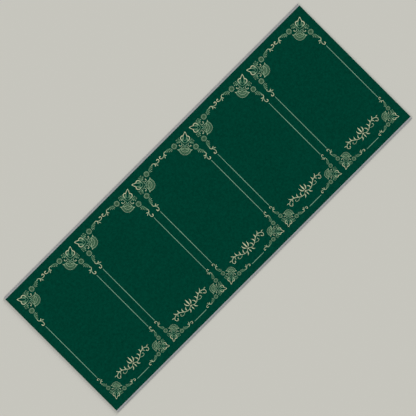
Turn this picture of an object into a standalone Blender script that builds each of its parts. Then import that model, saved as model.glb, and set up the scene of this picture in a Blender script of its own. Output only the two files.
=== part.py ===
"""A long prayer rug for a row of five people, lying flat.

It is one flat pile cloth, whose two long margins are pressed thin, and two overlocked edges,
one wrapped over each margin. +X runs along the rug, +Y points to the head side, +Z is up,
and the origin is under the middle of the rug, on the surface that it lies on.
"""

import math

import bmesh
import bpy

# Driving dimensions, in metres
RUG_LENGTH = 3.000
RUG_WIDTH = 1.170
CLOTH_THICKNESS = 0.005
EDGE_WIDTH = 0.018
EDGE_THICKNESS = 0.0044
THREAD_LAYER = 0.0008
SEWING_GAP = 0.0003
PILE_ROUNDING = 0.0015
LIP_ROUNDING = 0.0003

# Steps that stand for a round
PILE_STEPS = 3
NOSE_STEPS = 8

# Linear colours
PILE_GREEN = (0.0022, 0.0416, 0.0262, 1.0)
THREAD_GREY = (0.342, 0.337, 0.366, 1.0)

# Worked out from the driving dimensions
HALF_LENGTH = RUG_LENGTH / 2
HALF_WIDTH = RUG_WIDTH / 2
EDGE_RADIUS = EDGE_THICKNESS / 2
INNER_RADIUS = EDGE_RADIUS - THREAD_LAYER
MARGIN_RADIUS = INNER_RADIUS - SEWING_GAP
NOSE_CENTRE_Y = HALF_WIDTH - EDGE_RADIUS
PILE_EDGE_Y = HALF_WIDTH - EDGE_WIDTH
LIP_Y = PILE_EDGE_Y + SEWING_GAP


def clear_scene():
    """Removes every object, so that the model starts from nothing."""
    for thing in list(bpy.data.objects):
        bpy.data.objects.remove(thing, do_unlink=True)


def plain_material(name, colour, roughness):
    """A Principled material of one colour, for cloth or thread."""
    material = bpy.data.materials.new(name)
    material.use_nodes = True
    shader = material.node_tree.nodes["Principled BSDF"]
    shader.inputs["Base Color"].default_value = colour
    shader.inputs["Roughness"].default_value = roughness
    shader.inputs["Metallic"].default_value = 0.0
    material.diffuse_color = colour
    return material


def nose(radius, rising):
    """Half a circle about the nose's centre, as (y, z) points: outwards, from below if rising."""
    angles = [math.pi * (step / NOSE_STEPS - 0.5) for step in range(NOSE_STEPS + 1)]
    if not rising:
        angles.reverse()
    return [
        (NOSE_CENTRE_Y + radius * math.cos(angle), EDGE_RADIUS + radius * math.sin(angle))
        for angle in angles
    ]


def half_cloth_profile():
    """The cloth's section on its +Y side: flat below, a thin round margin, then the pile's wall."""
    margin_foot = (PILE_EDGE_Y, EDGE_RADIUS - MARGIN_RADIUS)
    margin_top = (PILE_EDGE_Y, EDGE_RADIUS + MARGIN_RADIUS)
    return [
        (PILE_EDGE_Y, 0.0),
        margin_foot,
        *nose(MARGIN_RADIUS, rising=True),
        margin_top,
        (PILE_EDGE_Y, CLOTH_THICKNESS),
    ]


def cloth_profile():
    """The whole section: the +Y half from below to above, then its mirror image back down."""
    right = half_cloth_profile()
    left = [(-y, z) for y, z in reversed(right)]
    return right + left


def edge_profile():
    """The overlocking's section: a round C, open towards the cloth, with softened lips."""
    return [
        (LIP_Y, LIP_ROUNDING),
        (LIP_Y + LIP_ROUNDING, 0.0),
        *nose(EDGE_RADIUS, rising=True),
        (LIP_Y + LIP_ROUNDING, EDGE_THICKNESS),
        (LIP_Y, EDGE_THICKNESS - LIP_ROUNDING),
        (LIP_Y, EDGE_THICKNESS - THREAD_LAYER),
        *nose(INNER_RADIUS, rising=False),
        (LIP_Y, THREAD_LAYER),
    ]


def carry_along_rug(profile, side):
    """A bmesh with the (y, z) profile carried from one short end to the other, at side +1 or -1."""
    mesh = bmesh.new()
    ring = [mesh.verts.new((-HALF_LENGTH, side * y, z)) for y, z in profile]
    face = mesh.faces.new(ring)
    moved = bmesh.ops.extrude_face_region(mesh, geom=[face])
    far_end = [item for item in moved["geom"] if isinstance(item, bmesh.types.BMVert)]
    bmesh.ops.translate(mesh, verts=far_end, vec=(RUG_LENGTH, 0.0, 0.0))
    bmesh.ops.recalc_face_normals(mesh, faces=mesh.faces)
    return mesh


def round_pile_rim(mesh):
    """Rounds the four edges around the top of the pile."""

    def on_top(edge):
        return all(abs(vert.co.z - CLOTH_THICKNESS) < SEWING_GAP / 2 for vert in edge.verts)

    rim = [edge for edge in mesh.edges if on_top(edge)]
    bmesh.ops.bevel(
        mesh,
        geom=rim,
        offset=PILE_ROUNDING,
        segments=PILE_STEPS,
        profile=0.5,
        affect="EDGES",
    )


def add_piece(name, mesh, material):
    """Turns a bmesh into an object of the scene, shaded smooth where it is round."""
    data = bpy.data.meshes.new(name)
    mesh.to_mesh(data)
    mesh.free()
    data.materials.append(material)
    data.shade_smooth()
    data.set_sharp_from_angle(angle=math.radians(40))
    piece = bpy.data.objects.new(name, data)
    bpy.context.scene.collection.objects.link(piece)
    return piece


def add_pile_cloth():
    """The cloth itself, pile and backing in one, from short end to short end."""
    mesh = carry_along_rug(cloth_profile(), 1)
    round_pile_rim(mesh)
    return add_piece("pile_cloth", mesh, plain_material("pile_green", PILE_GREEN, 0.9))


def add_overlocked_edges():
    """One overlocked edge along each long side, wrapped over the cloth's thin margin."""
    thread = plain_material("thread_grey", THREAD_GREY, 0.75)
    for name, side in (("overlock_head", 1), ("overlock_foot", -1)):
        add_piece(name, carry_along_rug(edge_profile(), side), thread)


clear_scene()
add_pile_cloth()
add_overlocked_edges()
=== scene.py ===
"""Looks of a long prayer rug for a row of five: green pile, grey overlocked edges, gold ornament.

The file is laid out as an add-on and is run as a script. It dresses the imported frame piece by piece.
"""

from functools import partial

import bpy
import numpy as np
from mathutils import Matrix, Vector


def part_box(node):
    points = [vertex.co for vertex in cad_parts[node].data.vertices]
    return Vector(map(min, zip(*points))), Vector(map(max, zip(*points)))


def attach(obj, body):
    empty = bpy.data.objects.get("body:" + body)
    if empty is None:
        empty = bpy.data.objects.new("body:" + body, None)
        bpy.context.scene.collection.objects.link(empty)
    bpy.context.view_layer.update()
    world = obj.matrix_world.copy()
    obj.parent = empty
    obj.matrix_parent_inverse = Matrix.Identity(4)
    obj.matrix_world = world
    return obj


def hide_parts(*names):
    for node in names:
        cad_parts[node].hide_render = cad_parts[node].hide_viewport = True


bl_info = {
    "name": "Prayer rug",
    "version": (1, 0, 0),
    "blender": (4, 5, 0),
    "location": "3D View > Sidebar > Prayer rug",
    "description": "Dresses a long prayer rug: pile cloth, overlocked edges, ornament and stage",
    "category": "Object",
}

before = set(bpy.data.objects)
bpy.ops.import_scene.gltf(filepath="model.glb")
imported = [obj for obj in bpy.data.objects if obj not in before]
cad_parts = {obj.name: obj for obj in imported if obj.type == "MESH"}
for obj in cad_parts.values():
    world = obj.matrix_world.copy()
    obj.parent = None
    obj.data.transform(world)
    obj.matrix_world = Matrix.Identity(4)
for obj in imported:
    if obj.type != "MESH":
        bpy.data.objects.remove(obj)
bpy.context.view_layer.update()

# Sizes read from the frame, in metres
CLOTH_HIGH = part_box("pile_cloth")[1]
EDGE_LOW, EDGE_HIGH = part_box("overlock_head")
HALF_LENGTH = CLOTH_HIGH.x
PILE_TOP = CLOTH_HIGH.z
MARGIN_TIP_Y = CLOTH_HIGH.y
HALF_WIDTH = EDGE_HIGH.y
EDGE_TOP = EDGE_HIGH.z
LIP_Y = EDGE_LOW.y

# Sizes that the frame doesn't tell, in metres
MM = 0.001
HAIR = 0.1 * MM
SEWING_GAP = 0.3 * MM
THREAD_LAYER = 0.8 * MM
PILE_EDGE_Y = LIP_Y - SEWING_GAP
EDGE_RADIUS = EDGE_TOP / 2
NOSE_Y = HALF_WIDTH - EDGE_RADIUS
MARGIN_RADIUS = MARGIN_TIP_Y - NOSE_Y
BACKING_TOP = 1.8 * MM
NEEDLE_ROW_INSET = 2.2 * MM
STROKE_SUNK = 0.2 * MM
FLOOR_Z = -0.3 * MM
FLOOR_REACH = 90.0

# Places of the scroll and the straight lines inside an ornamental frame, in metres
SCROLL_RISE = 0.113
SIDE_LINE_INSET = 15.3 * MM
SIDE_LINE_BELOW_HEAD = 0.288
SIDE_LINE_ABOVE_FOOT = 0.2125
FOOT_LINE_REACH = 0.058
FOOT_LINE_RISE = 1.2 * MM

# The steps of a quarter circle, from just past its start to its end
QUARTER_TURN = np.radians([22.5, 45, 67.5, 90])


# ---------------- properties

colour_property = partial(bpy.props.FloatVectorProperty, subtype="COLOR", min=0.0, max=1.0)
length_property = partial(bpy.props.FloatProperty, unit="LENGTH")
angle_property = partial(bpy.props.FloatProperty, subtype="ANGLE")


class RugPileLook(bpy.types.PropertyGroup):
    """Sizes and colours of the pile cloth."""

    green: colour_property(
        name="Green", description="Colour of the ground pile", default=(0.0003, 0.0548, 0.0325)
    )
    backing: colour_property(
        name="Backing",
        description="Colour of the woven backing under the pile",
        default=(0.46, 0.44, 0.38),
    )
    rounding: length_property(
        name="Rim rounding", description="How far the pile rounds over at its rim", default=1.5 * MM
    )
    flare: length_property(
        name="End flare",
        description="How far the pile leans out over its backing at the two cut ends",
        default=1.0 * MM,
    )
    unevenness: length_property(
        name="Unevenness", description="How far the lying cloth rises and falls", default=0.22 * MM
    )
    step: length_property(
        name="Mesh step", description="Distance between the cloth's points", default=16 * MM
    )


class RugEdgeLook(bpy.types.PropertyGroup):
    """Sizes and colours of the overlocked edges."""

    yarn: colour_property(
        name="Yarn", description="Colour of the overlocking yarn", default=(0.43, 0.435, 0.445)
    )
    pitch: length_property(
        name="Turn pitch", description="Distance between two turns of yarn", default=3.5 * MM
    )
    valley: length_property(
        name="Valley depth", description="How deep the yarn dips between two turns", default=0.45 * MM
    )
    slant: length_property(
        name="Slant",
        description="How far a turn moves along the edge from its upper lip to its lower one",
        default=3.0 * MM,
    )
    row_radius: length_property(
        name="Needle thread radius",
        description="Radius of the thread in the row of locking stitches",
        default=0.38 * MM,
    )


class RugOrnamentLook(bpy.types.PropertyGroup):
    """Sizes and colours of the gold ornament."""

    gold: colour_property(
        name="Gold", description="Colour of the gold pile", default=(0.80, 0.76, 0.495)
    )
    sage: colour_property(
        name="Sage",
        description="Colour of fine work, where gold and green tufts mix",
        default=(0.175, 0.365, 0.225),
    )
    olive: colour_property(
        name="Olive",
        description="Colour of the dim ground inside the fine work",
        default=(0.067, 0.152, 0.076),
    )
    pale_sage: colour_property(
        name="Pale sage",
        description="Colour of the mixed tufts in the straight lines",
        default=(0.22, 0.455, 0.32),
    )
    relief: length_property(
        name="Relief", description="How far the gold pile stands above the green", default=0.35 * MM
    )
    places: bpy.props.IntProperty(
        name="Places", description="Number of framed places side by side", min=1, default=5
    )
    pitch: length_property(
        name="Pitch", description="Distance between the middles of two places", default=0.5855
    )
    frame_width: length_property(
        name="Frame width", description="Width of one ornamental frame at its head", default=0.5523
    )
    foot_inset: length_property(
        name="Foot inset",
        description="How far the foot corners stand inside the head corners",
        default=1.9 * MM,
    )
    head_gap: length_property(
        name="Head gap", description="From the pile's head side to the frame", default=0.0552
    )
    foot_gap: length_property(
        name="Foot gap", description="From the pile's foot side to the frame", default=0.0558
    )
    lower_share: bpy.props.FloatProperty(
        name="Lower corner size",
        description="Size of a foot corner's ornament as a share of a head corner's",
        subtype="FACTOR",
        min=0.1,
        max=1.0,
        default=0.742,
    )
    line_width: length_property(
        name="Line width", description="Width of the straight lines between the corners", default=4.5 * MM
    )


class RugStageLook(bpy.types.PropertyGroup):
    """Camera, light and floor."""

    lens: bpy.props.FloatProperty(
        name="Lens", description="Focal length of the camera", unit="CAMERA", default=85.0
    )
    view_width: length_property(
        name="View width", description="Width that the camera sees at the rug's surface", default=3.0014
    )
    floor: colour_property(
        name="Floor", description="Colour of the plain floor", default=(0.744, 0.736, 0.671)
    )
    backdrop: colour_property(
        name="Backdrop",
        description="Colour that the camera sees past the floor's end, the same as the lit floor's",
        default=(0.565, 0.558, 0.509),
    )
    sky: bpy.props.FloatProperty(
        name="Sky", description="Strength of the even light from all sides", min=0.0, default=0.456
    )
    lamp: bpy.props.FloatProperty(
        name="Lamp", description="Strength of the soft low lamp", min=0.0, default=3.1
    )
    lamp_height: angle_property(
        name="Lamp height", description="Angle of the lamp above the floor", default=np.radians(11.0)
    )
    lamp_bearing: angle_property(
        name="Lamp bearing",
        description="Angle from the rug's +X towards +Y where the lamp stands",
        default=np.radians(18.0),
    )
    lamp_softness: angle_property(
        name="Lamp softness",
        description="Angle that either lamp fills, seen from the rug",
        default=np.radians(14.0),
    )
    counter: bpy.props.FloatProperty(
        name="Counter lamp",
        description="Strength of the weaker lamp on the other side",
        min=0.0,
        default=1.25,
    )
    counter_height: angle_property(
        name="Counter lamp height",
        description="Angle of the counter lamp above the floor",
        default=np.radians(17.0),
    )
    counter_bearing: angle_property(
        name="Counter lamp bearing",
        description="Angle from the rug's +X towards +Y where the counter lamp stands",
        default=np.radians(205.0),
    )


# ---------------- meshes


def add_piece(name, points, faces, materials):
    """Makes an object at the origin from an array of points and a list of faces, shaded smooth."""
    mesh = bpy.data.meshes.new(name)
    mesh.from_pydata(points.reshape(-1, 3).tolist(), [], faces)
    for material in materials:
        mesh.materials.append(material)
    mesh.update()
    mesh.shade_smooth()
    mesh.set_sharp_from_angle(angle=np.radians(50))
    piece = bpy.data.objects.new(name, mesh)
    bpy.context.scene.collection.objects.link(piece)
    return piece


def set_kinds(piece, kinds):
    """Gives each face its material, by its place in the piece's list of materials."""
    piece.data.polygons.foreach_set("material_index", np.array(kinds, np.int32))


def set_values(piece, name, values):
    """Stores one number for each point of the mesh, for the material to read."""
    attribute = piece.data.attributes.new(name, "FLOAT", "POINT")
    attribute.data.foreach_set("value", np.asarray(values, np.float32).ravel())


def set_map(piece, places):
    """Stores a flat map: one pair of numbers for each point, handed to the face corners there."""
    mesh = piece.data
    layer = mesh.uv_layers.new(name="OFBake")
    corner_points = np.empty(len(mesh.loops), np.int32)
    mesh.loops.foreach_get("vertex_index", corner_points)
    layer.uv.foreach_set("vector", places[corner_points].astype(np.float32).ravel())


def ring_quads(stations, around, first=0):
    """Quads of a tube: each joins a point, the next one round, and the same two a station later."""
    row = first + np.arange(stations - 1)[:, None] * around
    here = np.arange(around)
    after = (here + 1) % around
    corners = [row + here, row + after, row + after + around, row + here + around]
    return np.stack(corners, axis=-1).reshape(-1, 4)


def tube_faces(stations, around, first=0):
    """A closed tube's faces: its quads, and at each end one face over the whole ring."""
    ring = first + np.arange(around)
    last = ring + (stations - 1) * around
    faces = ring_quads(stations, around, first).tolist()
    return faces + [ring[::-1].tolist(), last.tolist()]


def sway(x, y):
    """The lying cloth's rise and fall: long sine waves that cross, faded out near the rim."""
    waves = (
        np.sin(2 * np.pi * (x / 0.83 + y / 2.1))
        + 0.7 * np.sin(2 * np.pi * (x / 0.37 - y / 0.62) + 1.3)
        + 0.5 * np.sin(2 * np.pi * (x / 0.24 + y / 0.31) + 4.0)
    )
    highest = 2.2
    calm_rim = 0.03
    inside = np.minimum(HALF_LENGTH - np.abs(x), PILE_EDGE_Y - np.abs(y))
    fade = np.clip(inside / calm_rim, 0, 1)
    return bpy.context.scene.rug_pile.unevenness * waves / highest * fade * fade * (3 - 2 * fade)


# ---------------- materials


def feed(tree, socket, value):
    """Links another node's output to a socket, or sets a plain value on it."""
    if isinstance(value, bpy.types.NodeSocket):
        tree.links.new(value, socket)
    else:
        socket.default_value = value


def feed_node(tree, node, **values):
    """Feeds a node's inputs by name, where _ in a name stands for a space. Returns the node."""
    for name, value in values.items():
        feed(tree, node.inputs[name.replace("_", " ")], value)
    return node


def new_node(tree, kind, **values):
    """Adds a shader node of that kind and feeds its inputs by name."""
    return feed_node(tree, tree.nodes.new(f"ShaderNode{kind}"), **values)


def new_material(name, colour, roughness, **values):
    """A Principled material without a specular layer. Returns it with its nodes and its shader."""
    material = bpy.data.materials.new(name)
    material.use_nodes = True
    material.diffuse_color = (*colour, 1)
    tree = material.node_tree
    shader = tree.nodes["Principled BSDF"]
    plain = {"Base_Color": (*colour, 1), "Roughness": roughness, "Specular_IOR_Level": 0.0}
    feed_node(tree, shader, **plain, **values)
    return material, tree, shader


def new_group(name, inputs, outputs):
    """A shader node group with named sockets. Returns it with its two end nodes."""
    group = bpy.data.node_groups.new(name, "ShaderNodeTree")
    for in_out, sockets in (("INPUT", inputs), ("OUTPUT", outputs)):
        for socket_name, kind in sockets:
            group.interface.new_socket(name=socket_name, in_out=in_out, socket_type=f"NodeSocket{kind}")
    return group, group.nodes.new("NodeGroupInput"), group.nodes.new("NodeGroupOutput")


def math_node(tree, operation, first, second, clamp=False):
    """A Math node whose two inputs are sockets or numbers. Returns its output."""
    node = tree.nodes.new("ShaderNodeMath")
    node.operation = operation
    node.use_clamp = clamp
    for socket, value in zip(node.inputs, (first, second)):
        feed(tree, socket, value)
    return node.outputs[0]


def noise_node(tree, place, size, detail=2.0, stretch=(1, 1, 1)):
    """Noise with lumps of about that size in metres, stretched along the axes. Returns its value."""
    mapping = new_node(tree, "Mapping", Vector=place, Scale=[1 / factor for factor in stretch])
    place = mapping.outputs["Vector"]
    return new_node(tree, "TexNoise", Vector=place, Scale=1 / size, Detail=detail).outputs["Fac"]


def swing(tree, noise, strength):
    """How far a noise is from its middle, one half, times a strength. Returns its output."""
    return math_node(tree, "MULTIPLY", math_node(tree, "SUBTRACT", noise, 0.5), strength)


def scaled_colour(tree, colour, tone):
    """A colour times a tone. Returns its output."""
    node = tree.nodes.new("ShaderNodeVectorMath")
    node.operation = "SCALE"
    feed(tree, node.inputs[0], colour)
    feed(tree, node.inputs["Scale"], tone)
    return node.outputs["Vector"]


def object_place(tree):
    """The Object coordinates of a tree."""
    return tree.nodes.new("ShaderNodeTexCoord").outputs["Object"]


def stored_value(tree, name):
    """A number that set_values stored on the mesh. Returns its output."""
    node = tree.nodes.new("ShaderNodeAttribute")
    node.attribute_name = name
    return node.outputs["Fac"]


def pile_grain_group():
    """Short pile: tufts and clumps of tufts as fine bumps, lighter and darker patches over them.

    The colour is the pile's own, times one plus each noise's distance from its middle times the
    strength of its scale, which the material sets. The height is the sum of the tufts, at a lower
    strength, and the clumps.
    """
    if "pile_grain" in bpy.data.node_groups:
        return bpy.data.node_groups["pile_grain"]
    strengths = [(f"{scale} tone", "Float") for scale in ("Tuft", "Patch", "Broad")]
    sockets = [("Place", "Vector"), ("Colour", "Color"), *strengths]
    group, start, end = new_group("pile_grain", sockets, [("Colour", "Color"), ("Height", "Float")])
    place = start.outputs["Place"]
    tuft = noise_node(group, place, 1.3 * MM, detail=1.0)
    clump = noise_node(group, place, 7 * MM)
    patch = noise_node(group, place, 18 * MM, detail=1.0)
    broad = noise_node(group, place, 0.32, detail=1.0, stretch=(0.7, 1.6, 1))
    tone = 1.0
    for noise, scale in ((tuft, "Tuft"), (clump, "Tuft"), (patch, "Patch"), (broad, "Broad")):
        part = swing(group, noise, start.outputs[f"{scale} tone"])
        tone = math_node(group, "ADD", part, tone)
    colour = scaled_colour(group, start.outputs["Colour"], tone)
    height = math_node(group, "ADD", math_node(group, "MULTIPLY", tuft, 0.7), clump)
    feed_node(group, end, Colour=colour, Height=height)
    return group


def add_bump(tree, shader, height, distance, strength):
    """Feeds a height into the shader's normal."""
    bump = new_node(tree, "Bump", Distance=distance, Strength=strength, Height=height)
    feed_node(tree, shader, Normal=bump.outputs["Normal"])


def add_pile_grain(tree, shader, place, colour, **strengths):
    """Gives a shader the short pile's colour and bumps."""
    grain = tree.nodes.new("ShaderNodeGroup")
    grain.node_tree = pile_grain_group()
    feed_node(tree, grain, Place=place, Colour=colour, **strengths)
    feed_node(tree, shader, Base_Color=grain.outputs["Colour"])
    add_bump(tree, shader, grain.outputs["Height"], distance=0.4 * MM, strength=0.6)


def green_pile_material(green):
    """Dense matt green pile with a faint sheen of its own colour."""
    sheen = {"Sheen_Weight": 0.04, "Sheen_Roughness": 0.6, "Sheen_Tint": (0.05, 0.8, 0.6, 1)}
    material, tree, shader = new_material("green_pile", green, 1.0, **sheen)
    strengths = {"Tuft_tone": 0.6, "Patch_tone": 0.65, "Broad_tone": 0.08}
    add_pile_grain(tree, shader, object_place(tree), (*green, 1), **strengths)
    return material


def backing_material(colour):
    """Plain woven backing: two sets of fine ribs that cross, as a small bump and a small tone."""
    material, tree, shader = new_material("woven_backing", colour, 0.95)
    place = object_place(tree)
    ribs = []
    for direction in ("X", "Y"):
        wave = new_node(tree, "TexWave", Scale=1 / (6.3 * MM), Distortion=0.6, Vector=place)
        wave.bands_direction = direction
        ribs.append(wave.outputs["Fac"])
    weave = math_node(tree, "MULTIPLY", *ribs)
    tone = math_node(tree, "ADD", math_node(tree, "MULTIPLY", weave, 0.25), 0.85)
    feed_node(tree, shader, Base_Color=scaled_colour(tree, colour, tone))
    add_bump(tree, shader, weave, distance=0.3 * MM, strength=0.7)
    return material


def gold_pile_material(name, tones):
    """Gold pile whose share of gold falls to green through the tones of mixed tufts.

    The share is the stroke's own, less a part at its rim, plus noise, so that an outline is as
    ragged as tufts make it. A ramp then turns the share into a colour: tones are its stops, each a
    share and the colour there.
    """
    sheen = {"Sheen_Weight": 0.03, "Sheen_Roughness": 0.6, "Sheen_Tint": (0.9, 0.85, 0.65, 1)}
    material, tree, shader = new_material(name, tones[-1][1], 1.0, **sheen)
    place = object_place(tree)
    fringe = math_node(tree, "MULTIPLY", stored_value(tree, "rim"), -0.2)
    share = math_node(tree, "ADD", stored_value(tree, "gold_share"), fringe)
    ragged = swing(tree, noise_node(tree, place, 1.5 * MM), 0.3)
    share = math_node(tree, "ADD", share, ragged, clamp=True)
    ramp = new_node(tree, "ValToRGB", Fac=share)
    for at, _ in tones[1:-1]:
        ramp.color_ramp.elements.new(at)
    for stop, (_, colour) in zip(ramp.color_ramp.elements, tones):
        stop.color = (*colour, 1)
    strengths = {"Tuft_tone": 0.4, "Patch_tone": 0.25, "Broad_tone": 0.2}
    add_pile_grain(tree, shader, place, ramp.outputs["Color"], **strengths)
    return material


def yarn_material(colour, pitch):
    """Grey overlocking yarn: each turn a little lighter or darker, with painted shade and painted
    highlights stored on the mesh, and its fine ply as a bump.
    """
    sheen = {"Sheen_Weight": 0.08, "Sheen_Roughness": 0.5}
    material, tree, shader = new_material("overlock_yarn", colour, 0.85, **sheen)
    place = object_place(tree)
    fluff = swing(tree, noise_node(tree, place, 1.0 * MM), 0.35)
    wear = swing(tree, noise_node(tree, place, 0.12), 0.25)
    # The stored tone holds each turn's own tone, painted shade between turns and round the nose, and a
    # painted highlight on the stitches
    tone = math_node(tree, "ADD", stored_value(tree, "yarn_tone_and_painted_light"), fluff)
    tone = math_node(tree, "ADD", tone, wear)
    feed_node(tree, shader, Base_Color=scaled_colour(tree, colour, tone))
    ply = noise_node(tree, place, pitch / 6, detail=1.0, stretch=(0.6, 5, 5))
    add_bump(tree, shader, ply, distance=0.25 * MM, strength=0.6)
    return material


# ---------------- pile cloth


def half_section(look):
    """The cloth's half section from its middle outwards: y, top z and bottom z, as three arrays.

    The top is flat, then a quarter circle over the rim, then it steps down to the thin margin,
    whose top and bottom run level and close towards the tip along half a circle. The step leans
    out by a hair, so that no face of the cut ends is empty.
    """
    rim = PILE_EDGE_Y - look.rounding
    count = int(np.ceil(rim / look.step)) + 1
    nose = np.radians([0, 30, 60, 80])
    half_margin = MARGIN_RADIUS * np.concatenate([[1], np.cos(nose)])
    bend_y = rim + look.rounding * np.sin(QUARTER_TURN)
    bend_z = PILE_TOP - look.rounding * (1 - np.cos(QUARTER_TURN))
    nose_y = NOSE_Y + MARGIN_RADIUS * np.sin(nose)
    y = np.concatenate([np.linspace(0, rim, count), bend_y, [PILE_EDGE_Y + HAIR], nose_y])
    top = np.concatenate([np.full(count, PILE_TOP), bend_z, EDGE_RADIUS + half_margin])
    bottom = np.concatenate([np.zeros(count + len(bend_z)), EDGE_RADIUS - half_margin])
    return y, top, bottom


def cloth_stations(look):
    """Places along the rug: even steps, and at both ends the steps of a quarter circle."""
    rim = HALF_LENGTH - look.rounding
    inner = np.linspace(-rim, rim, int(2 * rim / look.step) + 1)
    bend = rim + look.rounding * np.sin(QUARTER_TURN)
    return np.concatenate([-bend[::-1], inner, bend])


def cloth_surface(look):
    """Points of the cloth, as stations along X by a ring round the section.

    The ring runs over the top from -Y to +Y, round the tip and back below. A point's height is the
    section's, less the end rounding where the cloth is thick, plus the sway of the lying cloth. At
    the cut ends the pile's own points stand a little further out than the backing's.
    """
    y, top, bottom = half_section(look)
    across = np.concatenate([-y[:0:-1], y])
    over = np.concatenate([top[:0:-1], top])
    under = np.concatenate([bottom[:0:-1], bottom])
    ring_y = np.concatenate([across, [MARGIN_TIP_Y], across[::-1], [-MARGIN_TIP_Y]])
    ring_z = np.concatenate([over, [EDGE_RADIUS], under[::-1], [EDGE_RADIUS]])
    thick = ring_z > EDGE_RADIUS + MARGIN_RADIUS + HAIR
    x = cloth_stations(look)
    past = np.clip(np.abs(x) - (HALF_LENGTH - look.rounding), 0, look.rounding)
    drop = look.rounding - np.sqrt(np.maximum(look.rounding**2 - past**2, 0))
    flared = np.sign(x) * look.flare * (past > 0)
    grid = np.empty((len(x), len(ring_y), 3))
    grid[..., 0] = x[:, None] + flared[:, None] * thick
    grid[..., 1] = ring_y
    grid[..., 2] = ring_z - drop[:, None] * thick
    grid[..., 2] += sway(grid[..., 0], grid[..., 1]) * thick
    return grid, len(across)


def end_rows(grid, across):
    """A row of points across each cut end, where the pile's colour meets the backing's.

    Its height is the backing's, or halfway down where the pile rounds over, or the margin's middle.
    """
    rows = grid[[0, -1], :across]
    height = np.minimum(BACKING_TOP, (rows[..., 2] + EDGE_RADIUS) / 2)
    margin = np.abs(rows[..., 1]) > PILE_EDGE_Y - HAIR
    rows[..., 0] = np.sign(rows[..., 0]) * HALF_LENGTH
    rows[..., 2] = np.where(margin, EDGE_RADIUS, height)
    return rows


def cloth_faces(stations, across):
    """Faces of the cloth and their materials: 0 for pile, 1 for backing.

    Sides are quads. Each cut end has a middle row of points, with pile above it and backing below.
    """
    around = 2 * across + 2
    sides = ring_quads(stations, around)
    place = np.tile(np.arange(around), stations - 1)
    kinds = np.where(place < across, 0, 1).tolist()
    faces = sides[:, ::-1].tolist()
    for end in (0, 1):
        first = end * (stations - 1) * around
        top = first + np.arange(across)
        middle = (stations * around + end * across) + np.arange(across)
        bottom = first + 2 * across - np.arange(across)
        upper = np.stack([top[:-1], middle[:-1], middle[1:], top[1:]], axis=-1)
        lower = np.stack([middle[:-1], bottom[:-1], bottom[1:], middle[1:]], axis=-1)
        right_tip = first + across
        left_tip = first + around - 1
        tips = np.array(
            [
                [top[-1], middle[-1], right_tip],
                [middle[-1], bottom[-1], right_tip],
                [top[0], left_tip, middle[0]],
                [middle[0], left_tip, bottom[0]],
            ]
        )
        cap = upper.tolist() + lower.tolist() + tips.tolist()
        if end == 0:
            cap = [face[::-1] for face in cap]
        faces += cap
        kinds += [0] * (across - 1) + [1] * (across - 1) + [0, 1, 0, 1]
    return faces, kinds


class RUG_OT_pile_cloth(bpy.types.Operator):
    """Makes the pile cloth: one closed sheet with green pile above and woven backing below"""

    bl_idname = "rug.pile_cloth"
    bl_label = "Pile cloth"

    def execute(self, context):
        look = context.scene.rug_pile
        grid, across = cloth_surface(look)
        points = np.concatenate([grid.reshape(-1, 3), end_rows(grid, across).reshape(-1, 3)])
        faces, kinds = cloth_faces(len(grid), across)
        materials = [green_pile_material(look.green), backing_material(look.backing)]
        piece = add_piece("green_pile", points, faces, materials)
        set_kinds(piece, kinds)
        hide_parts("pile_cloth")
        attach(piece, "root")
        return {"FINISHED"}


# ---------------- overlocked edges


def wrap_section():
    """The outer face of the wrapped yarn from its upper lip round the nose to its lower lip.

    Two level runs joined by half a circle: y, z and the outward direction of each point.
    """
    angles = np.radians([90, 54, 18, -18, -54, -90])
    level = [LIP_Y, LIP_Y + THREAD_LAYER / 3, (LIP_Y + NOSE_Y) / 2]
    above = [EDGE_TOP - THREAD_LAYER / 3, EDGE_TOP, EDGE_TOP]
    below = [0, 0, THREAD_LAYER / 3]
    y = np.concatenate([level, NOSE_Y + EDGE_RADIUS * np.cos(angles), level[::-1]])
    z = np.concatenate([above, EDGE_RADIUS + EDGE_RADIUS * np.sin(angles), below])
    out_y = np.concatenate([[0, 0, 0], np.cos(angles), [0, 0, 0]])
    out_z = np.concatenate([[1, 1, 1], np.sin(angles), [-1, -1, -1]])
    return y, z, out_y, out_z


def turn_phases(pitch, per_turn):
    """How many turns the rug has along X, the turns passed at each of its places, and its x."""
    turns = int(2 * HALF_LENGTH / pitch)
    phase = np.arange(turns * per_turn + 1) / per_turn
    return turns, phase, -HALF_LENGTH + phase * (2 * HALF_LENGTH / turns)


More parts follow.
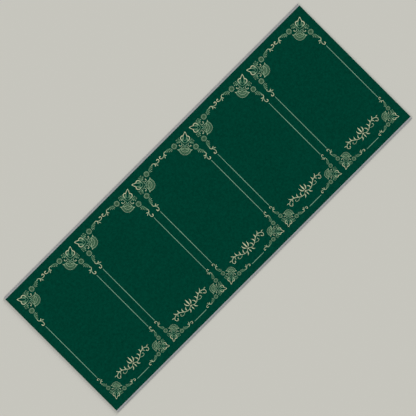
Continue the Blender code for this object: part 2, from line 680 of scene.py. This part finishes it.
def wrap_surface(look, side, chance):
    """Points of one overlocked edge, as stations along X by a ring round its C-shaped section.

    Each turn of yarn is half a sine wave: the outer face sinks by the valley depth where two turns
    meet. A turn slants along the edge as it goes round, and turns differ a little in height and
    lean. The second array is each point's tone: each turn a little lighter or darker at random,
    times painted shade where two turns meet and painted shade that darkens the section from its
    lighter inner lip towards the rounded outside.
    """
    per_turn = 4
    most_sunk, most_lean = 0.25, 0.12
    turns, phase, x = turn_phases(look.pitch, per_turn)
    number = np.minimum(phase.astype(int), turns - 1)
    sunk = chance.uniform(0, most_sunk, turns)[number]
    lean = chance.uniform(-most_lean, most_lean, turns)[number] * look.pitch
    crest = np.sin(np.pi * (phase - number))
    depth = (look.valley * (1 - crest * (1 - sunk)))[:, None]
    y, z, out_y, out_z = wrap_section()
    reach = np.linspace(-0.5, 0.5, len(y))
    calm_end = 0.02
    calm = np.clip((HALF_LENGTH - np.abs(x)) / calm_end, 0, 1)
    grid = np.empty((len(x), len(y) + 4, 3))
    grid[..., 0] = x[:, None]
    outer = grid[:, : len(y)]
    outer[..., 0] += calm[:, None] * (look.slant * reach + (lean * crest)[:, None])
    outer[..., 1] = y - depth * out_y
    outer[..., 2] = z - depth * out_z
    inner_nose = NOSE_Y + EDGE_RADIUS - THREAD_LAYER * 1.2
    half_nose = MARGIN_RADIUS / 2
    grid[:, len(y) :, 1] = [LIP_Y, inner_nose, inner_nose, LIP_Y]
    grid[:, len(y) :, 2] = [
        THREAD_LAYER,
        EDGE_RADIUS - half_nose,
        EDGE_RADIUS + half_nose,
        EDGE_TOP - THREAD_LAYER,
    ]
    grid[..., 1] *= side
    # Each turn's own random tone, less painted shade in the valley where two turns meet
    turn_spread, painted_seam_shade = 0.12, 0.10
    tone = 1.0 + turn_spread * chance.random(turns)[number] - painted_seam_shade * (1 - crest)
    # Painted shade across the section: lighter at the inner lip, darker round the nose's outside
    reached = np.clip((np.abs(grid[0, :, 1]) - LIP_Y) / (HALF_WIDTH - LIP_Y), 0, 1)
    painted_nose_shade = 1.2 - 0.82 * reached + 0.43 * reached**2
    return grid, tone[:, None] * painted_nose_shade


def needle_row_surface(look, side, chance):
    """Points of the row of locking stitches along a band's inner border: a thread along X.

    The thread's radius swells once a stitch, and it dips into the cloth where two stitches meet.
    The second array is each point's tone, lighter where the thread swells: a painted highlight.
    """
    around = 5
    per_stitch = 4
    stitches, phase, x = turn_phases(look.pitch, per_stitch)
    swell = np.abs(np.sin(np.pi * phase))
    radius = look.row_radius * (0.45 + 0.55 * swell)
    most_aside, rise = 0.12 * MM, 0.3 * MM
    wander = most_aside * np.repeat(chance.uniform(-1, 1, stitches + 1), per_stitch)[: len(x)]
    lift = EDGE_TOP - look.row_radius * 0.6 + rise * swell
    angles = 2 * np.pi * np.arange(around) / around
    grid = np.empty((len(x), around, 3))
    grid[..., 0] = x[:, None]
    grid[..., 1] = side * (LIP_Y + NEEDLE_ROW_INSET + wander[:, None] + radius[:, None] * np.cos(angles))
    grid[..., 2] = lift[:, None] + radius[:, None] * np.sin(angles)
    # Lighter where the thread swells: a painted highlight on each stitch
    return grid, np.repeat(1.04 + 0.1 * swell, around)


class RUG_OT_overlocked_edges(bpy.types.Operator):
    """Makes the two overlocked edges: turns of grey yarn round the margin, and a row of stitches"""

    bl_idname = "rug.overlocked_edges"
    bl_label = "Overlocked edges"

    def execute(self, context):
        look = context.scene.rug_edge
        yarn = yarn_material(look.yarn, look.pitch)
        chance = np.random.default_rng(7)
        for name, node, side in (
            ("overlock_yarn_head", "overlock_head", 1),
            ("overlock_yarn_foot", "overlock_foot", -1),
        ):
            wraps, wrap_tone_and_shade = wrap_surface(look, side, chance)
            row, row_tone_and_highlight = needle_row_surface(look, side, chance)
            wrap_faces = tube_faces(*wraps.shape[:2])
            row_faces = tube_faces(*row.shape[:2], first=wrap_tone_and_shade.size)
            if side == 1:
                wrap_faces = [face[::-1] for face in wrap_faces]
            else:
                row_faces = [face[::-1] for face in row_faces]
            points = np.concatenate([wraps.reshape(-1, 3), row.reshape(-1, 3)])
            piece = add_piece(name, points, wrap_faces + row_faces, [yarn])
            # Stores each turn's own tone with its painted shade, and the stitches' painted highlight
            set_values(piece, "yarn_tone_and_painted_light", np.concatenate([wrap_tone_and_shade.ravel(), row_tone_and_highlight]))
            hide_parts(node)
            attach(piece, "root")
        return {"FINISHED"}


# ---------------- ornament strokes
# A stroke is a path of (x, y) in millimetres, with a width and a share of gold at each point.
# A corner is charted with x along the frame's side and y inwards, from the frame's own corner.
# The lists below are that chart: places, then widths, then shares of gold.

BOLD = 0.97
STRONG = 0.8
MIDDLE = 0.62
FINE = 0.5
BODY = 0.16


def through(points, count):
    """A smooth path through points: cubic Hermite pieces whose slopes follow the points beside them."""
    points = np.asarray(points, float)
    lengths = np.linalg.norm(np.diff(points, axis=0), axis=1)
    chord = np.concatenate([[0], np.cumsum(lengths)])
    order = 2 if len(points) > 2 else 1
    slope = np.gradient(points, chord, axis=0, edge_order=order)
    along = np.linspace(0, chord[-1], count)
    piece = np.clip(np.searchsorted(chord, along, side="right") - 1, 0, len(points) - 2)
    span = lengths[piece][:, None]
    t = (along - chord[piece])[:, None] / span
    return (
        (2 * t**3 - 3 * t**2 + 1) * points[piece]
        + (t**3 - 2 * t**2 + t) * span * slope[piece]
        + (3 * t**2 - 2 * t**3) * points[piece + 1]
        + (t**3 - t**2) * span * slope[piece + 1]
    )


def arc(centre, radius, start, end, count):
    """Points on a circle from one angle to another, in degrees."""
    angle = np.radians(np.linspace(start, end, count))
    return np.asarray(centre) + radius * np.stack([np.cos(angle), np.sin(angle)], axis=1)


def band(path, start, middle, end, shares):
    """A stroke whose width is a parabola through three widths, with a round cap at each end.

    Its share of gold is one number, or a pair between which it changes evenly.
    """
    t = np.linspace(0, 1, len(path))
    widths = start * (1 - t) * (1 - 2 * t) + 4 * middle * t * (1 - t) + end * t * (2 * t - 1)
    cap = np.radians([35, 62, 80])
    caps = []
    for tip, before, width in ((path[0], path[1], widths[0]), (path[-1], path[-2], widths[-1])):
        way = (tip - before) / np.linalg.norm(tip - before)
        caps.append((tip + np.sin(cap)[:, None] * way * width / 2, width * np.cos(cap)))
    (start_path, start_widths), (end_path, end_widths) = caps
    path = np.concatenate([start_path[::-1], path, end_path])
    widths = np.concatenate([start_widths[::-1], widths, end_widths])
    return path, widths, np.linspace(*np.broadcast_to(shares, 2), len(path))


def leaf(root, tip, width, bend=0.0, fullest=0.5, share=FINE, count=8):
    """A leaf: a parabola from root to tip, as wide as a sine that peaks at the fullest place."""
    root, tip = np.asarray(root, float), np.asarray(tip, float)
    t = np.linspace(0, 1, count)
    along = tip - root
    side = np.array([-along[1], along[0]])
    path = root + t[:, None] * along + (4 * bend * t * (1 - t))[:, None] * side
    skew, thinnest = np.log(0.5) / np.log(fullest), 0.12
    widths = width * np.maximum(np.sin(np.pi * t**skew), thinnest)
    return path, widths, np.full(count, share)


def bead(centre, radius, share):
    """A round dot, as a short stroke whose width is a circle's."""
    t = np.linspace(-0.92, 0.92, 6)
    path = np.asarray(centre, float) + radius * np.stack([t, np.zeros(6)], axis=1)
    return path, 2 * radius * np.sqrt(1 - t**2), np.full(6, share)


def ray(angle):
    """The direction at an angle in degrees."""
    return np.array([np.cos(np.radians(angle)), np.sin(np.radians(angle))])


def slanted(along, aside):
    """A place on the corner's diagonal at a distance from the corner, moved aside towards x."""
    return np.array([along + aside, along - aside]) / np.sqrt(2)


def slanted_path(places, count):
    """A smooth path through places given along the corner's diagonal and aside from it."""
    return through([slanted(along, aside) for along, aside in places], count)


def bud():
    """Half of the corner's bud: a side of its pointed sheath, and the filled lobe beside it."""
    sheath = [(9, 1.6), (15, 5), (23, 8.6), (31, 11.4), (38, 14.8)]
    inner = [(37, 12.4), (47, 11), (57, 9.8), (65, 7.6), (70, 3.4), (70.6, 0)]
    lobe = [(38, 14.8), (38, 20.4), (41.2, 26.4), (47.6, 30.8), (55.4, 31.2), (63, 28.2), (69, 24)]
    rest = [(69, 24), (75, 18.8), (81, 12.6), (86, 6.4), (88, 0)]
    return [
        leaf(slanted(44, 14.5), slanted(81, 16.5), 15, bend=-0.03, fullest=0.46, share=0.38),
        leaf(slanted(15, 0), slanted(5.6, 0), 7.4, share=BOLD),
        band(slanted_path(sheath, 14), 4.2, 4.4, 6.0, (0.88, BOLD)),
        band(slanted_path(inner, 20), 3.0, 3.4, 3.0, (MIDDLE, FINE)),
        band(slanted_path(lobe, 22), 6.8, 7.4, 6.6, (BOLD, 0.78)),
        band(slanted_path(rest, 14), 6.4, 5.0, 3.2, (0.7, 0.38)),
        leaf(slanted(54, 20), slanted(76, 19.5), 6.0, fullest=0.6, share=MIDDLE),
    ]


def cup():
    """Half of the thin cup under the bud, and of the stems that cross under it."""
    rim = [(83, 25), (88, 17), (94, 12), (101, 9.5)]
    crossing = [(96, 14.5), (104, 9), (111, 2), (117, -4)]
    return [
        band(slanted_path(rim, 10), 1.4, 1.4, 1.8, (0.24, 0.4)),
        band(slanted_path(crossing, 10), 2.8, 3.4, 2.2, (0.6, FINE)),
    ]


def spray():
    """Buds on short stalks that fan out beside the lobe."""
    strokes = [leaf((73, 33), (94, 7), 17, share=BODY)]
    for root, tip, width in (
        ((74, 26), (76.4, 10), 3.4),
        ((78, 27), (93, 9), 3.4),
        ((79, 29), (98, 22.6), 3.2),
        ((90, 17), (89.5, 28), 3.0),
    ):
        strokes.append(leaf(root, tip, width, count=7))
    for centre, radius, share in (
        ((76.6, 7.8), 3.6, MIDDLE),
        ((94.6, 5.8), 3.6, MIDDLE),
        ((101.6, 22.6), 3.7, MIDDLE),
        ((86, 4.6), 2.0, MIDDLE),
        ((101.5, 13.6), 1.6, FINE),
    ):
        strokes.append(bead(centre, radius, share))
    strokes.append(leaf((70, 33), (96, 31), 6.4, bend=-0.03, fullest=0.72, share=0.66))
    strokes.append(leaf((84, 34), (102, 14), 9, share=0.32))
    border = [(67, 3), (71, 12), (74.4, 22), (77, 34)]
    strokes.append(band(through(border, 8), 1.6, 2.4, 4.6, (0.34, MIDDLE)))
    return strokes


def hook():
    """The C-shaped curl with a ball at its end."""
    curl = [(82, 38.5), (79.8, 44.5), (82, 52), (88.6, 57), (97, 57.4), (103.6, 53.4), (105, 47.4)]
    return [band(through(curl, 20), 3.0, 4.2, 5.4, (MIDDLE, 0.78)), bead((103.4, 45.6), 4.5, 0.82)]


def fan_side():
    """Half of the fan's upper edge: a line that widens to an end petal, and the rim under it."""
    edge = [(90, 69.6), (98, 68), (108, 68.8), (118, 68.6), (127, 66.6)]
    rim = [(88.4, 86), (94.6, 85.4), (101.2, 82.8), (107.4, 78.2), (113.2, 72.4)]
    return [
        band(through(edge, 14), 3.8, 4.4, 5.0, 0.66),
        band(through(rim, 14), 4.4, 4.6, 5.0, (0.64, 0.7)),
        leaf((127, 71), (135.4, 58), 7.8, share=0.74),
        bead((87, 76.6), 3.2, MIDDLE),
        leaf((78.4, 56), (78.2, 75), 4.0, share=MIDDLE),
    ]


def rosette():
    """A round flower of narrow petals, with a dim disc and a small star inside."""
    centre = np.array([134.6, 24.9])
    petals = 13
    strokes = [band(arc(centre, 8.0, 0, 360, 22), 16.0, 16.0, 16.0, 0.19)]
    for number in range(petals):
        way = ray(360 / petals * (number + 0.5))
        petal = leaf(centre + way * 11.0, centre + way * 21.6, 6.0, fullest=0.56, share=0.66, count=7)
        strokes.append(petal)
    for number in range(6):
        way = ray(60 * number)
        strokes.append(leaf(centre + way, centre + way * 6.6, 2.0, fullest=0.6, count=5))
    return strokes


def fern():
    """A curved rib with leaflets that hang from it to both sides, over a long leaf."""
    rib = [(203, 7), (194, 8), (184, 11), (173, 16), (162, 20.5)]
    roots = through(rib, 6)
    strokes = [
        leaf((206, 8), (165, 28), 22, bend=0.05, share=0.18, count=12),
        band(through(rib, 12), 4.4, 2.8, 1.8, (MIDDLE, FINE)),
    ]
    tips = through([(207.6, 15.8), (195.2, 26), (183, 35.6), (171.4, 42.6), (163.6, 37)], 5)
    for root, tip in zip(roots, tips):
        strokes.append(leaf(root, tip, 5.6, bend=0.1, fullest=0.74, share=0.62))
    for root, tip in zip(roots[1:], [(187, 3.2), (175.5, 6.8), (164.6, 12), (158, 20.5)]):
        strokes.append(leaf(root, tip, 4.6, bend=-0.1, fullest=0.6))
    return strokes


def s_scroll():
    """The S-shaped scroll that ends the leg, with a leaf at its waist and a ball in its curl."""
    stem = [(198, 8.4), (206, 7), (214, 5.2), (221.5, 7.4), (226.8, 12.6), (228.4, 18.6)]
    foot = [(228.4, 18.6), (226.2, 24.4), (221.6, 29.6)]
    tail = [(231, 15.6), (237.4, 20), (245.6, 23.6), (254.8, 24.6), (262.6, 22.9), (268, 18.8)]
    curl = [(269.8, 12.8), (267.4, 6.8), (261.2, 4.2)]
    return [
        band(through(stem, 20), 4.2, 5.4, 6.2, (0.64, BOLD)),
        band(through(foot, 8), 6.2, 6.8, 6.0, (BOLD, STRONG)),
        leaf((231.4, 18), (240.6, 41.6), 7.6, bend=0.04, fullest=0.66, share=0.76, count=9),
        band(through(tail + curl[:1], 22), 4.0, 5.0, 5.6, (MIDDLE, BOLD)),
        band(through(curl, 8), 5.6, 5.8, 6.0, BOLD),
        bead((258, 6.0), 3.9, 0.9),
        leaf((211, 7), (206.4, 16.4), 4.8, bend=0.1, fullest=0.6),
    ]


def fan():
    """The round fan on the corner's diagonal: arcs, a row of ribs, and a rim of scallops."""
    diagonal, half_angle = 45, 68.0
    centre = slanted(120.8, -0.8)
    start, end = diagonal - half_angle, diagonal + half_angle
    rim_radius = 44.6
    strokes = [
        band(arc(centre, 17.0, start, end, 20), 22, 22, 22, 0.2),
        band(arc(centre, 38.0, start, end, 30), 16, 16, 16, 0.17),
        band(arc(centre + ray(diagonal) * 1.6, 31.0, start, end, 30), 4.6, 5.0, 4.6, 0.66),
        band(arc(centre, rim_radius, start, end, 30), 1.4, 1.4, 1.4, 0.4),
    ]
    scallops = 11
    step = (end - start) / scallops
    for number in range(scallops):
        angle = start + step * (number + 0.5)
        way = ray(angle)
        reach = rim_radius + 5 * np.cos(np.radians(angle - diagonal)) ** 4
        lobe = arc(centre + way * reach, 4.9, angle - 84, angle + 84, 8)
        strokes += [
            leaf(centre + way * 36.5, centre + way * 46, 4.6, fullest=0.7, share=0.5, count=6),
            band(lobe, 1.4, 3.6, 1.4, 0.67),
            bead(centre + way * (reach + 0.6), 1.5, 0.44),
        ]
    ribs = 6
    for number in range(ribs):
        way = ray(diagonal + 19.5 * (number - (ribs - 1) / 2))
        strokes.append(leaf(centre + way * 11, centre + way * 28, 3.8, fullest=0.62, share=0.6))
    return strokes


def swapped(strokes):
    """The strokes on the other side of the corner's diagonal, with x and y swapped."""
    return [(path[:, ::-1], widths, shares) for path, widths, shares in strokes]


def eased(strokes):
    """The strokes with the leg along y moved by a small step that eases in beside the diagonal.

    That leg's strokes are a little thinner too.
    """
    clear, run = 18, 20
    step, thinner = (-0.4, 2.3), 0.04
    out = []
    for path, widths, shares in strokes:
        ease = np.clip((path[:, 1] - path[:, 0] - clear) / run, 0, 1)
        out.append((path + ease[:, None] * step, widths * (1 - thinner * ease), shares))
    return out


def corner():
    """The whole corner ornament: one leg along x, the same along y, and the fan between them."""
    leg = bud() + cup() + spray() + hook() + rosette() + fern() + s_scroll()
    return eased(leg + swapped(leg)) + fan_side() + swapped(fan_side()) + fan()


def sprig():
    """A plain leafy scroll, the same to both sides, with x across and y up from its middle."""
    stem = [(4, -10), (22, -22), (46, -20), (68, -6), (90, 8), (112, 13), (134, 7), (145, -6)]
    curl = [(141, -18), (132, -21.4), (126.4, -16)]
    offshoot = [(58, -13), (70, -21), (84, -24), (95, -19), (95.6, -10)]
    leaves = (
        ((20, -20), (36, -45), 8.0, -0.2, 0.86),
        ((40, -21), (30, 8), 7.2, -0.2, 0.9),
        ((62, -10), (58, 18), 7.2, -0.2, 0.9),
        ((84, 5), (88, 32), 6.8, -0.18, 0.9),
        ((106, 13), (124, 34), 6.2, -0.12, 0.86),
        ((138, 3), (160, 8), 5.4, 0.16, STRONG),
        ((102, 11), (114, -10), 5.4, 0.14, STRONG),
    )
    half = [
        band(through(stem + curl[:1], 36), 3.0, 4.4, 3.6, (STRONG, 0.9)),
        band(through(curl, 8), 3.6, 3.8, 4.0, 0.9),
        bead((124.6, -12.6), 3.6, 0.9),
        band(through(offshoot, 16), 2.4, 3.0, 3.2, (MIDDLE, STRONG)),
        bead((92.4, -8.2), 3.2, STRONG),
        *(leaf(root, tip, width, bend, 0.46, share) for root, tip, width, bend, share in leaves),
        leaf((4, -4), (22, 32), 8.4, bend=-0.2, share=0.9),
    ]
    other = [(path * (-1, 1), widths, shares) for path, widths, shares in half]
    middle = [
        leaf((0, -4), (0, 46), 9.6, fullest=0.42, share=BOLD, count=10),
        bead((0, -13), 4.4, BOLD),
        leaf((0, -18), (0, -46), 7.6, share=0.9),
    ]
    return half + other + middle


# ---------------- ornament pieces


def placed(strokes, place, signs, scale=1.0, weight=1.0):
    """Strokes in metres on the rug: scaled, flipped by a pair of signs, and moved to a place.

    The weight makes their widths a little thinner or thicker than the scale alone does.
    """
    turned = np.array(signs) * scale * MM
    broad = scale * weight * MM
    return [(place + path * turned, widths * broad, shares) for path, widths, shares in strokes]


def line(start, end, width, share):
    """A straight stroke in metres with round ends, swelling a little towards its middle."""
    thin = 0.8 * width / MM
    path, widths, shares = band(through([start, end], 40) / MM, thin, width / MM, thin, share)
    return path * MM, widths * MM, shares


def place_strokes(look, middle):
    """The strokes of one framed place whose middle is at that x.

    The first list holds its four corners and its scroll, the second its straight lines. The foot
    corners are smaller, and a little thinner still.
    """
    head = PILE_EDGE_Y - look.head_gap
    foot = -PILE_EDGE_Y + look.foot_gap
    charted = corner()
    scroll_scale, foot_weight = 1.06, 0.985
    foot_line_share, side_line_share = 0.59, 0.6
    worked = placed(sprig(), np.array([middle, foot + SCROLL_RISE]), (1, 1), scroll_scale)
    level = foot + FOOT_LINE_RISE
    start, end = (middle - FOOT_LINE_REACH, level), (middle + FOOT_LINE_REACH, level)
    lines = [line(start, end, look.line_width, foot_line_share)]
    for x, way in ((middle - look.frame_width / 2, 1), (middle + look.frame_width / 2, -1)):
        foot_place = np.array([x + way * look.foot_inset, foot])
        worked += placed(charted, np.array([x, head]), (way, -1))
        worked += placed(charted, foot_place, (way, 1), look.lower_share, foot_weight)
        inner = x + way * SIDE_LINE_INSET
        bottom, top = foot + SIDE_LINE_ABOVE_FOOT, head - SIDE_LINE_BELOW_HEAD
        lines.append(line((inner, bottom), (inner, top), look.line_width, side_line_share))
    return worked, lines


def stroke_surface(path, widths, relief):
    """Points of one stroke: a low hump carried along its path, as stations by five points.

    The two outer points are sunk into the pile, the shoulders are lower than the crown, and a
    narrow stroke is lower than a wide one.
    """
    way = np.gradient(path, axis=0)
    way /= np.linalg.norm(way, axis=1)[:, None]
    left = np.stack([-way[:, 1], way[:, 0]], axis=1)
    aside = np.array([1, 0.7, 0, -0.7, -1])
    up = np.array([0, 0.8, 1, 0.8, 0])
    flat = path[:, None] + left[:, None] * (widths[:, None] / 2 * aside)[..., None]
    full_width = 2.5 * MM
    height = relief * np.clip(widths / full_width, 0.35, 1)
    z = PILE_TOP + sway(flat[..., 0], flat[..., 1]) - STROKE_SUNK + (height[:, None] + STROKE_SUNK) * up
    return np.concatenate([flat, z[..., None]], axis=2)


def joined_strokes(lists, relief, chance):
    """The surfaces of all strokes as one mesh: its points, its faces, and its two point values.

    A face's kind is the number of the list that its stroke is in. The values are each point's share
    of gold, and its place between the crown, 0, and the rim, 1. A stroke's width wavers by a few
    percent, and its relief grows with its share of gold.
    """
    rim = np.array([1, 0.45, 0, 0.45, 1])
    waver = 0.05
    points, faces, kinds, shares, rims = [], [], [], [], []
    first = 0
    for kind, strokes in enumerate(lists):
        for path, widths, stroke_shares in strokes:
            uneven = 1 + waver * np.sin(np.cumsum(chance.uniform(0, 1.6, len(path))))
            height = relief * (0.4 + 0.6 * stroke_shares.max()) * chance.uniform(0.85, 1.15)
            surface = stroke_surface(path, widths * uneven, height)
            stations, around = surface.shape[:2]
            stroke_faces = tube_faces(stations, around, first)
            points.append(surface.reshape(-1, 3))
            faces += stroke_faces
            kinds += [kind] * len(stroke_faces)
            shares.append(np.repeat(stroke_shares, around))
            rims.append(np.tile(rim, stations))
            first += stations * around
    return np.concatenate(points), faces, kinds, np.concatenate(shares), np.concatenate(rims)


class RUG_OT_gold_ornament(bpy.types.Operator):
    """Makes the gold ornament: one piece for each framed place, of many low strokes of pile"""

    bl_idname = "rug.gold_ornament"
    bl_label = "Gold ornament"

    def execute(self, context):
        look = context.scene.rug_ornament
        green = context.scene.rug_pile.green
        worked_tones = [(0, green), (0.25, look.olive), (0.5, look.sage), (1, look.gold)]
        line_tones = [(0, green), (0.5, look.pale_sage), (1, look.gold)]
        materials = [
            gold_pile_material("gold_pile", worked_tones),
            gold_pile_material("sage_pile", line_tones),
        ]
        chance = np.random.default_rng(21)
        for number in range(look.places):
            middle = (number - (look.places - 1) / 2) * look.pitch
            lists = place_strokes(look, middle)
            points, faces, kinds, shares, rims = joined_strokes(lists, look.relief, chance)
            piece = add_piece(f"gold_ornament_{number + 1}", points, faces, materials)
            set_kinds(piece, kinds)
            set_values(piece, "gold_share", shares)
            set_values(piece, "rim", rims)
            low, high = points[:, :2].min(axis=0), points[:, :2].max(axis=0)
            set_map(piece, (points[:, :2] - low) / (high - low).max())
            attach(piece, "root")
        return {"FINISHED"}


# ---------------- stage


class RUG_OT_stage(bpy.types.Operator):
    """Makes the floor, the even light, two soft lamps and the camera straight above the rug"""

    bl_idname = "rug.stage"
    bl_label = "Stage"

    def execute(self, context):
        look = context.scene.rug_stage
        scene = context.scene
        self.add_floor(look)
        self.add_light(scene, look)
        self.add_camera(scene, look)
        scene.view_settings.view_transform = "Standard"
        return {"FINISHED"}

    def add_floor(self, look):
        """A plain square floor just under the rug."""
        signs = np.array([(-1, -1), (1, -1), (1, 1), (-1, 1)])
        points = np.column_stack([FLOOR_REACH * signs, np.full(4, FLOOR_Z)])
        material = new_material("plain_floor", look.floor, 0.9)[0]
        add_piece("floor", points, [[0, 1, 2, 3]], [material])

    def add_light(self, scene, look):
        """Even light from all sides, and two low soft lamps that give the rug's short shadow.

        The camera sees the backdrop's colour instead of the light, so that no horizon shows.
        """
        world = bpy.data.worlds.new("even_light")
        world.use_nodes = True
        tree = world.node_tree
        sky = feed_node(tree, tree.nodes["Background"], Color=(1, 1, 1, 1), Strength=look.sky)
        backdrop = new_node(tree, "Background", Color=(*look.backdrop, 1))
        seen = new_node(tree, "LightPath").outputs["Is Camera Ray"]
        either = new_node(tree, "MixShader")
        for source, socket in zip((seen, sky.outputs[0], backdrop.outputs[0]), either.inputs):
            feed(tree, socket, source)
        feed_node(tree, tree.nodes["World Output"], Surface=either.outputs[0])
        scene.world = world
        self.add_lamp(scene, "soft_lamp", look.lamp, look.lamp_height, look.lamp_bearing)
        self.add_lamp(scene, "counter_lamp", look.counter, look.counter_height, look.counter_bearing)

    def add_lamp(self, scene, name, strength, height, bearing):
        """A far lamp at a height and a bearing, both as angles."""
        lamp = bpy.data.lights.new(name, "SUN")
        lamp.energy = strength
        lamp.angle = scene.rug_stage.lamp_softness
        holder = bpy.data.objects.new(name, lamp)
        level = np.cos(height)
        towards = Vector((level * np.cos(bearing), level * np.sin(bearing), np.sin(height)))
        holder.rotation_euler = towards.to_track_quat("Z", "Y").to_euler()
        scene.collection.objects.link(holder)

    def add_camera(self, scene, look):
        """A camera above the rug's middle, turned by 45 degrees, as the rug lies in the photo."""
        camera = bpy.data.cameras.new("camera")
        camera.lens = look.lens
        camera.clip_start = 5 * MM
        holder = bpy.data.objects.new("camera", camera)
        distance = look.view_width * look.lens / camera.sensor_width
        holder.location = (0, 0, PILE_TOP + distance)
        holder.rotation_euler = (0, 0, -np.pi / 4)
        scene.collection.objects.link(holder)
        scene.camera = holder


# ---------------- panel and run

OPERATORS = (RUG_OT_pile_cloth, RUG_OT_overlocked_edges, RUG_OT_gold_ornament, RUG_OT_stage)
LOOKS = {
    "rug_pile": RugPileLook,
    "rug_edge": RugEdgeLook,
    "rug_ornament": RugOrnamentLook,
    "rug_stage": RugStageLook,
}


class RUG_PT_sidebar(bpy.types.Panel):
    """Lists the rug's operators in the 3D view's sidebar"""

    bl_label = "Prayer rug"
    bl_idname = "RUG_PT_sidebar"
    bl_space_type = "VIEW_3D"
    bl_region_type = "UI"
    bl_category = "Prayer rug"

    def draw(self, context):
        for operator in OPERATORS:
            self.layout.operator(operator.bl_idname)


def register():
    for look in LOOKS.values():
        bpy.utils.register_class(look)
    for name, look in LOOKS.items():
        setattr(bpy.types.Scene, name, bpy.props.PointerProperty(type=look))
    for thing in (*OPERATORS, RUG_PT_sidebar):
        bpy.utils.register_class(thing)


def unregister():
    for thing in (RUG_PT_sidebar, *reversed(OPERATORS)):
        bpy.utils.unregister_class(thing)
    for name, look in reversed(LOOKS.items()):
        delattr(bpy.types.Scene, name)
        bpy.utils.unregister_class(look)


def main():
    """Makes the rug piece by piece."""
    register()
    bpy.ops.rug.pile_cloth()
    bpy.ops.rug.overlocked_edges()
    bpy.ops.rug.gold_ornament()
    bpy.ops.rug.stage()


if __name__ == "__main__":
    main()
